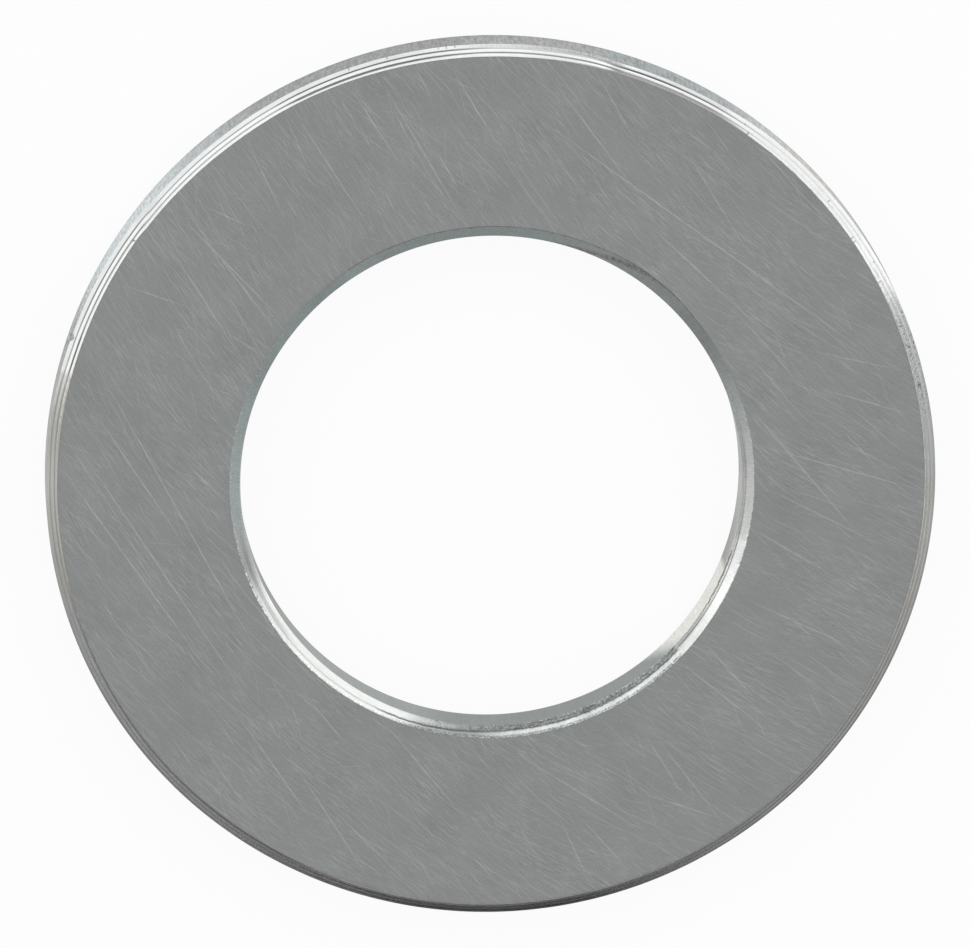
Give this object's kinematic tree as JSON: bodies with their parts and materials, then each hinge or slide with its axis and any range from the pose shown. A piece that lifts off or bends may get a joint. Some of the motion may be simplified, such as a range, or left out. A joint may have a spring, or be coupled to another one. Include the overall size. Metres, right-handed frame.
{
  "type": "flat washer",
  "caption": "Flat steel washer that spreads the load of a bolt or nut: a plain bore, bevelled edges and fine turned grooves on the upper outer bevel.",
  "frame": {"origin": "on the bore's axis, at the lower face that the washer rests on", "axes": "+Z along the bore's axis, out of the upper face, whose outer bevel carries the turned grooves; X and Y are any two directions across the ring"},
  "size_m": [0.0556, 0.0556, 0.004],
  "materials": {
    "steel": "matt tumbled faces with fine scratches, bright turned bevels, grey sheared outer wall"
  },
  "bodies": {
    "root": {"washer": "steel"}
  },
  "joints": []
}
